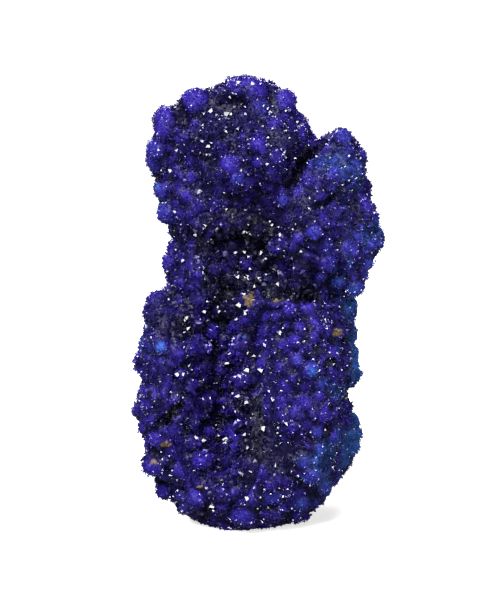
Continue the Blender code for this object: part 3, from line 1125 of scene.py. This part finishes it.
def new_group(name, inputs, outputs):
    """A node group with these sockets, what it is given, and its last node."""
    group = bpy.data.node_groups.new(name, "ShaderNodeTree")
    for socket, kind in inputs.items():
        group.interface.new_socket(socket, in_out="INPUT", socket_type=kind)
    for socket, kind in outputs.items():
        group.interface.new_socket(socket, in_out="OUTPUT", socket_type=kind)
    return group, group.nodes.new("NodeGroupInput").outputs, group.nodes.new("NodeGroupOutput")


def new_material(name):
    """A material, its nodes and its shader."""
    material = bpy.data.materials.new(name)
    material.use_nodes = True
    return material, material.node_tree, material.node_tree.nodes["Principled BSDF"]


def azurite_tone_group():
    """Colour and roughness of azurite from the numbers that its mesh carries."""
    name = "Azurite tone"
    if name in bpy.data.node_groups:
        return bpy.data.node_groups[name]
    group, given, result = new_group(
        name,
        {"Deep": COLOUR_SOCKET, "Violet": COLOUR_SOCKET, "Teal": COLOUR_SOCKET, "Glint": COLOUR_SOCKET,
         "Matrix": COLOUR_SOCKET, "Rust": COLOUR_SOCKET, "Proud": NUMBER_SOCKET,
         "Teal share": NUMBER_SOCKET, "Matrix share": NUMBER_SOCKET, "Tint": NUMBER_SOCKET,
         "Least roughness": NUMBER_SOCKET},
        {"Colour": COLOUR_SOCKET, "Roughness": NUMBER_SOCKET})
    cloud = cloudy(group, CLOUD_SCALE, CLOUD_DETAIL)
    speck = cloudy(group, SPECK_SCALE, SPECK_DETAIL)
    from_cloud = worked(group, "MULTIPLY", worked(group, "SUBTRACT", cloud, 0.5), CLOUD_REACH)
    uneven = scaled(group, worked(group, "SUBTRACT", given["Tint"], MIDDLE_TINT), TINT_REACH, from_cloud)
    lit = scaled(group, given["Proud"], worked(group, "ADD", uneven, 1.0),
                 worked(group, "MULTIPLY", uneven, RECESS_REACH), clamp=True)
    azurite = mixed(group, worked(group, "POWER", lit, LIT_CURVE), given["Deep"], given["Violet"])
    shade = worked(group, "MULTIPLY", scaled(group, given["Tint"], *TEAL_BY_TINT),
                   scaled(group, given["Proud"], *TEAL_BY_PROUD))
    teal_share = worked(group, "MULTIPLY", given["Teal share"], scaled(group, speck, *TEAL_BY_SPECK),
                        clamp=True)
    skin = mixed(group, teal_share, azurite, dimmed(group, given["Teal"], shade))
    # The few crystals of highest tint take the painted glint colour, standing in for sparkle
    painted_glint_share = worked(group, "MULTIPLY", worked(group, "SUBTRACT", given["Tint"], PAINTED_GLINT_FROM), PAINTED_GLINT_RISE,
                         clamp=True)
    earth = mixed(group, scaled(group, cloud, *TAN_BY_CLOUD, clamp=True), given["Rust"], given["Matrix"])
    bare = scaled(group, worked(group, "ADD", given["Matrix share"], uneven), *BARE_BY_MATRIX, clamp=True)
    rough = scaled(group, worked(group, "POWER", given["Tint"], DULL_CURVE), DULL_ROUGHNESS,
                   given["Least roughness"])
    rough = scaled(group, teal_share, TEAL_ROUGHNESS, rough)
    feed(group, result, {
        "Colour": mixed(group, bare, mixed(group, painted_glint_share, skin, given["Glint"]), earth),
        "Roughness": scaled(group, bare, BARE_ROUGHNESS, rough, clamp=True),
    })
    return group


def facet_grain_group():
    """Small flat facets, each tilted its own way, as a normal."""
    name = "Facet grain"
    if name in bpy.data.node_groups:
        return bpy.data.node_groups[name]
    group, given, result = new_group(
        name, {"Facet size": NUMBER_SOCKET, "Tilt": NUMBER_SOCKET}, {"Normal": "NodeSocketVector"})
    place = put(group, "ShaderNodeTexCoord").outputs["Object"]
    scale = worked(group, "DIVIDE", 1.0, given["Facet size"])
    cells = put(group, "ShaderNodeTexVoronoi", {"Vector": place, "Scale": scale}).outputs
    offset = vector_worked(group, "SUBTRACT", place, cells["Position"]).outputs[0]
    lean = vector_worked(group, "SUBTRACT", cells["Color"], (0.5, 0.5, 0.5)).outputs[0]
    height = vector_worked(group, "DOT_PRODUCT", offset, lean).outputs["Value"]
    height = worked(group, "MULTIPLY", height, given["Tilt"])
    bump = put(group, "ShaderNodeBump", {"Height": height, "Distance": 1.0})
    feed(group, result, {"Normal": bump.outputs[0]})
    return group


def facet_grain(tree, facet, tilt):
    """The normal of facets of that size and tilt."""
    inputs = {"Facet size": facet, "Tilt": tilt}
    return put(tree, "ShaderNodeGroup", inputs, node_tree=facet_grain_group()).outputs["Normal"]


def azurite_material(name, context):
    """Azurite in one of its finishes."""
    if name in bpy.data.materials:
        return bpy.data.materials[name]
    colours = context.scene.geode_colours
    recess, roughness, specular, facet, tilt = FINISHES[name]
    material, tree, shader = new_material(name)
    tone = put(tree, "ShaderNodeGroup", {
        "Deep": opaque(getattr(colours, recess)),
        "Violet": opaque(colours.violet),
        "Teal": opaque(colours.teal),
        "Glint": opaque(colours.painted_glint),
        "Matrix": opaque(colours.matrix),
        "Rust": opaque(colours.rust),
        "Proud": carried(tree, PROUD_AND_PAINTED_SHADE),
        "Teal share": carried(tree, TEAL),
        "Matrix share": carried(tree, MATRIX),
        "Tint": carried(tree, TINT),
        "Least roughness": roughness,
    }, node_tree=azurite_tone_group())
    feed(tree, shader, {
        "IOR": AZURITE_IOR,
        "Specular IOR Level": specular,
        "Base Color": tone.outputs["Colour"],
        "Roughness": tone.outputs["Roughness"],
        "Normal": facet_grain(tree, facet, tilt),
    })
    return material


def matrix_material(context):
    """Tan to brown earthy matrix, grainy and dull."""
    name = "Earthy matrix"
    if name in bpy.data.materials:
        return bpy.data.materials[name]
    colours = context.scene.geode_colours
    material, tree, shader = new_material(name)
    stain = cloudy(tree, CLOUD_SCALE, STAIN_DETAIL)
    by_tint = worked(tree, "MULTIPLY", carried(tree, TINT), TAN_BY_TINT)
    share = worked(tree, "ADD", scaled(tree, stain, *TAN_BY_STAIN), by_tint, clamp=True)
    feed(tree, shader, {
        "Base Color": mixed(tree, share, opaque(colours.rust), opaque(colours.matrix)),
        "Roughness": scaled(tree, stain, *MATRIX_ROUGHNESS),
        "Normal": facet_grain(tree, MATRIX_FACET, MATRIX_TILT),
    })
    return material


def floor_material(stage):
    """Pale paper with a faint uneven tone."""
    material, tree, shader = new_material("Pale paper")
    fibre = scaled(tree, cloudy(tree, FIBRE_SCALE, FIBRE_DETAIL), *FIBRE_TONE)
    shade = worked(tree, "MULTIPLY", fibre, seen_or_lighting(tree, stage.floor_bounce))
    colour = dimmed(tree, tuple(stage.floor), shade)
    feed(tree, shader, {
        "Roughness": PAPER_ROUGHNESS,
        "Specular IOR Level": PAPER_SPECULAR,
        "Emission Strength": FLOOR_GLOW,
        "Base Color": colour,
        "Emission Color": colour,
    })
    return material


def like_tones(count, proud, matrix, random):
    """Tones of so many pieces that are alike in all but their tint."""
    return {
        PROUD_AND_PAINTED_SHADE: np.full(count, proud),
        TEAL: np.zeros(count),
        MATRIX: np.full(count, matrix),
        TINT: random.random(count),
    }


class GEODE_OT_stone(Operator):
    """Make the stone's fine lumpy skin from the nodule"""

    bl_idname = "geode.stone"
    bl_label = "Stone"

    def execute(self, context):
        sizes = context.scene.geode_sizes
        front = front_of_solids(context)
        crust = front.trees["hollow_crystals"]
        random = random_source("stone")

        def head_chance(places):
            fewer = 1 - TEAL_FEWER_HEADS * teal_at(places)
            return HEAD_CHANCE * fewer * (1 - front.cover(places, FRONT_PAINTED_SHADES, PAINTED_SHADE_NOISE))

        base = fine_form("nodule", BASE_FACE, STONE_SOFTENING)
        points, normals = corners_of(base)
        foot = (points[:, 2] < FOOT_BAND) & (normals[:, 2] < -FOOT_FACING)
        shallower = 1 - SHADE_SHALLOWER * front.cover(points, FRONT_PAINTED_SHADES, PAINTED_SHADE_NOISE)
        headed = (1 - TEAL_FEWER_HEADS * teal_at(points)) * shallower
        sink = SKIN_SINK + (HEADED_SINK - SKIN_SINK) * away_from(points, crust, RIM_WIDTH) * headed
        set_points(base, points - normals * np.where(foot, 0.0, sink)[:, None])
        heads = with_small_heads(front.heads_on("nodule"), "nodule", sizes, head_chance, random)
        relief = relief_of(base, heads, sizes.stone_face, front)
        # The gaps' painted shade takes out the teal as well
        teal = np.maximum(teal_at(relief.places), relief.blueness * relief.top) * (1 - relief.dark)
        spots = front.patches(FRONT_MATRIX)
        behind = np.flatnonzero(relief.points[:, 1] > BACK_STARTS)
        for row in random.choice(behind, sizes.back_matrix_spots, replace=False):
            spots.append((relief.points[row], random.uniform(*BACK_MATRIX_RADIUS), 1.0))
        matrix = patch_share(relief.places, spots, STONE_MATRIX_NOISE)
        write_tones(relief.mesh, {
            PROUD_AND_PAINTED_SHADE: proud_share_with_painted_shade(relief, PROUD_LEVEL, PROUD_HEAD),
            TEAL: np.maximum(teal, relief.specks),
            MATRIX: np.where(relief.foot, FOOT_MATRIX, matrix),
            TINT: np.full(len(relief.points), MIDDLE_TINT),
            DEPTH: np.zeros(len(relief.points)),
            BACKED: faces_closely(relief.points, relief.normals, crust) | relief.foot,
        })
        material = azurite_material("Azurite skin", context)
        new_piece("stone", relief.mesh, material, "azurite_skin", "nodule")
        return {"FINISHED"}


class GEODE_OT_hollow_wall(Operator):
    """Make the wall of the hollow, which its crystals grow on"""

    bl_idname = "geode.hollow_wall"
    bl_label = "Hollow wall"

    def execute(self, context):
        sizes = context.scene.geode_sizes
        front = front_of_solids(context)
        nodule = front.trees["nodule"]
        random = random_source("hollow_wall")

        def head_chance(places):
            bare = np.maximum(front.cover(places, FRONT_PAINTED_SHADES, PAINTED_SHADE_NOISE), WALL_BARE)
            return HEAD_CHANCE * (1 - bare)

        base = fine_form("hollow_crystals", BASE_FACE, WALL_SOFTENING)
        points, normals = corners_of(base)
        backed = faces_closely(points, normals, nodule)
        points = points + normals * np.where(backed, GAP_TO_CLOSE, -WALL_SINK)[:, None]
        points = below_skin(points, np.flatnonzero(backed), tree_of(bpy.data.objects["stone"].data))
        set_points(base, points)
        named = front.heads_on("hollow_crystals")
        heads = with_small_heads(named, "hollow_crystals", sizes, head_chance, random)
        relief = relief_of(base, heads, sizes.wall_face, front)
        depth = depth_from_skin(relief.points)
        # Deeper in the hollow the wall grows lighter violet, partly its own colour and partly painted light
        level = PROUD_LEVEL + (DEEP_WALL_VIOLET_AND_PAINTED_LIGHT - PROUD_LEVEL) * depth
        write_tones(relief.mesh, {
            PROUD_AND_PAINTED_SHADE: proud_share_with_painted_shade(relief, level, WALL_PROUD_HEAD),
            TEAL: np.maximum(relief.blueness * relief.top, relief.specks),
            MATRIX: front.cover(relief.places, FRONT_MATRIX, WALL_MATRIX_NOISE),
            TINT: np.full(len(relief.points), MIDDLE_TINT),
            DEPTH: depth,
            BACKED: faces_closely(relief.points, relief.normals, nodule),
        })
        material = azurite_material("Azurite hollow wall", context)
        new_piece("hollow_wall", relief.mesh, material, "azurite_crystal", "hollow_crystals")
        return {"FINISHED"}


class GEODE_OT_skin_druse(Operator):
    """Grow the small crystals that cover the stone, as four pieces: crown and foot, front and back"""

    bl_idname = "geode.skin_druse"
    bl_label = "Skin druse"

    def execute(self, context):
        sizes = context.scene.geode_sizes
        random = random_source("skin_druse")
        surface = surface_of("stone")
        likely = growing_chance(surface.tones)
        likely *= RECESS_DENSITY + DENSER_ON_HEADS * surface.tones[PROUD_AND_PAINTED_SHADE]
        material = azurite_material("Azurite druse", context)
        front = surface.points[:, 1] < FRONT_ENDS
        crown = surface.points[:, 2] > CROWN_STARTS
        zones = {
            "crown_druse_front": (crown & front, sizes.front_crystals),
            "crown_druse_back": (crown & ~front, sizes.back_crystals),
            "foot_druse_front": (~crown & front, sizes.front_crystals),
            "foot_druse_back": (~crown & ~front, sizes.back_crystals),
        }
        for name, (zone, count) in zones.items():
            rows = rooted_at(likely * zone, count, random)
            growths = druse_growths(surface, rows, sizes.druse_height, random, SKIN_FORMS)
            new_piece(name, joined_mesh(name, growths), material, "azurite_skin")
        return {"FINISHED"}


class GEODE_OT_hollow_druse(Operator):
    """Grow the clear dark crystals that line the hollow"""

    bl_idname = "geode.hollow_druse"
    bl_label = "Hollow crystals"

    def execute(self, context):
        sizes = context.scene.geode_sizes
        random = random_source("hollow_druse")
        surface = surface_of("hollow_wall")
        rows = rooted_at(growing_chance(surface.tones), sizes.hollow_crystals, random)
        deep = surface.tones[DEPTH][rows]
        height = sizes.druse_height + (sizes.hollow_height - sizes.druse_height) * deep
        growths = druse_growths(surface, rows, height, random, HOLLOW_FORMS)
        material = azurite_material("Azurite hollow crystal", context)
        new_piece("hollow_druse", joined_mesh("hollow_druse", growths), material, "azurite_crystal")
        return {"FINISHED"}


class GEODE_OT_turned_crystals(Operator):
    """Set the large single crystals whose faces catch the light"""

    bl_idname = "geode.turned_crystals"
    bl_label = "Large crystals"

    def execute(self, context):
        stage = context.scene.geode_stage
        random = random_source("turned_crystals")
        front = FrontView(stage, {name: bpy.data.objects[name].data for name in ("stone", "hollow_wall")})
        camera, _, _ = camera_place(stage)
        slope = math.atan2(BLADE_DROP * TURNED_HEIGHT, TURNED_THICKNESS / 2)
        roots, axes, ridges, sizes = [], [], [], []
        for across, down, width in TURNED_CRYSTALS.values():
            place, normal, _ = front.seen(across, down)
            if place is None:
                continue
            to_light = (Vector(KEY_PLACE) * MM - place).normalized()
            mirror = (to_light + (camera - place).normalized()).normalized()
            outward = (normal - mirror * normal.dot(mirror)).normalized()
            axis = mirror * math.cos(slope) + outward * math.sin(slope)
            roots.append(place)
            axes.append(axis)
            ridges.append(axis.cross(mirror))
            sizes.append(np.array([1.0, TURNED_THICKNESS, TURNED_HEIGHT]) * width * TURNED_SIZE * MM)
        tones = like_tones(len(roots), TURNED_PROUD, 0.0, random)
        growth = grown(BLADE, np.array(roots), np.array(axes), np.array(ridges), np.array(sizes), tones)
        material = azurite_material("Azurite hollow crystal", context)
        new_piece("turned_crystals", joined_mesh("turned_crystals", [growth]), material, "azurite_crystal")
        return {"FINISHED"}


class GEODE_OT_matrix_grains(Operator):
    """Set the rough tan grains of matrix that show between the crystals"""

    bl_idname = "geode.matrix_grains"
    bl_label = "Matrix grains"

    def execute(self, context):
        random = random_source("matrix_grains")
        points, normals = [], []
        for name in ("stone", "hollow_wall"):
            surface = surface_of(name)
            above_foot = surface.points[:, 2] > MATRIX_GRAINS_ABOVE
            bare = np.flatnonzero((surface.tones[MATRIX] > MATRIX_GRAIN_FROM) & above_foot)
            rows = bare[random.random(len(bare)) < MATRIX_GRAIN_SHARE]
            points.append(surface.points[rows])
            normals.append(surface.normals[rows])
        roots = np.concatenate(points)
        axes = np.concatenate(normals) + random.normal(0, AXIS_JITTER, roots.shape)
        form = grain_form(random)
        sizes = random.uniform(*MATRIX_GRAIN_SIZE, (len(roots), 1))
        sizes = sizes * random.uniform(*MATRIX_GRAIN_SPREAD, roots.shape)
        tones = like_tones(len(roots), 1.0, 1.0, random)
        growth = grown(form, roots, axes, random.normal(0, 1, roots.shape), sizes, tones)
        mesh = joined_mesh("matrix_grains", [growth])
        new_piece("matrix_grains", mesh, matrix_material(context), "azurite_skin")
        return {"FINISHED"}


def aim(obj, place, target):
    """Puts a light or the camera at a place, facing the target."""
    obj.location = place
    obj.rotation_euler = (Vector(target) - Vector(place)).to_track_quat("-Z", "Y").to_euler()


def add_softbox(name, place, size, power, target):
    light = bpy.data.lights.new(name, "AREA")
    light.shape = "DISK"
    light.size = size
    light.energy = power
    aim(placed(name, light), Vector(place) * MM, target)


def add_sun(stage):
    light = bpy.data.lights.new("Overhead light", "SUN")
    light.energy = stage.top_strength
    light.angle = SUN_WIDTH
    placed("Overhead light", light).rotation_euler = (SUN_PITCH, SUN_ROLL, 0.0)


def add_surroundings(stage):
    """A room that is white to look at and lights the object only dimly."""
    world = bpy.data.worlds.new("Studio")
    bpy.context.scene.world = world
    world.use_nodes = True
    tree = world.node_tree
    strength = seen_or_lighting(tree, stage.room)
    feed(tree, tree.nodes["Background"], {"Strength": strength, "Color": (1.0, 1.0, 1.0, 1.0)})


def add_floor(stage):
    bm = bmesh.new()
    bmesh.ops.create_circle(bm, cap_ends=True, segments=FLOOR_SIDES, radius=FLOOR_RADIUS)
    mesh = bpy.data.meshes.new("floor")
    bm.to_mesh(mesh)
    bm.free()
    mesh.materials.append(floor_material(stage))
    placed("floor", mesh)


def add_camera(stage):
    data = bpy.data.cameras.new("Camera")
    data.lens = stage.lens
    data.sensor_width = SENSOR
    data.clip_start = CAMERA_NEAR
    data.clip_end = CAMERA_FAR
    camera = placed("Camera", data)
    place, _, _ = camera_place(stage)
    aim(camera, place, stage.target)
    bpy.context.scene.camera = camera


class GEODE_OT_stage(Operator):
    """Set the pale floor, the soft studio lights and the camera"""

    bl_idname = "geode.stage"
    bl_label = "Stage"

    def execute(self, context):
        stage = context.scene.geode_stage
        add_floor(stage)
        add_camera(stage)
        add_softbox("Key softbox", KEY_PLACE, KEY_SIZE, stage.key_power, stage.target)
        add_softbox("Fill softbox", FILL_PLACE, FILL_SIZE, stage.fill_power, stage.target)
        add_softbox("Back softbox", BACK_PLACE, BACK_SIZE, stage.back_power, stage.target)
        add_sun(stage)
        add_surroundings(stage)
        context.scene.view_settings.view_transform = "Standard"
        return {"FINISHED"}


OPERATORS = (
    GEODE_OT_stone,
    GEODE_OT_hollow_wall,
    GEODE_OT_skin_druse,
    GEODE_OT_hollow_druse,
    GEODE_OT_turned_crystals,
    GEODE_OT_matrix_grains,
    GEODE_OT_stage,
)
SETTINGS = {"geode_sizes": GeodeSizes, "geode_colours": GeodeColours, "geode_stage": GeodeStage}


class GEODE_PT_pieces(Panel):
    """The geode's pieces, and the sizes and colours that they are made with"""

    bl_idname = "GEODE_PT_pieces"
    bl_label = "Azurite geode"
    bl_space_type = "VIEW_3D"
    bl_region_type = "UI"
    bl_category = "Geode"

    def draw(self, context):
        for operator in OPERATORS:
            self.layout.operator(operator.bl_idname)
        for settings, group in SETTINGS.items():
            box = self.layout.box()
            for name in group.__annotations__:
                box.prop(getattr(context.scene, settings), name)


CLASSES = (*SETTINGS.values(), *OPERATORS, GEODE_PT_pieces)


def register():
    for cls in CLASSES:
        bpy.utils.register_class(cls)
    for settings, group in SETTINGS.items():
        setattr(bpy.types.Scene, settings, PointerProperty(type=group))


def unregister():
    for settings in SETTINGS:
        delattr(bpy.types.Scene, settings)
    for cls in reversed(CLASSES):
        bpy.utils.unregister_class(cls)


def main():
    register()
    bpy.ops.geode.stone()
    bpy.ops.geode.hollow_wall()
    bpy.ops.geode.skin_druse()
    bpy.ops.geode.hollow_druse()
    bpy.ops.geode.turned_crystals()
    bpy.ops.geode.matrix_grains()
    bpy.ops.geode.stage()


if __name__ == "__main__":
    main()
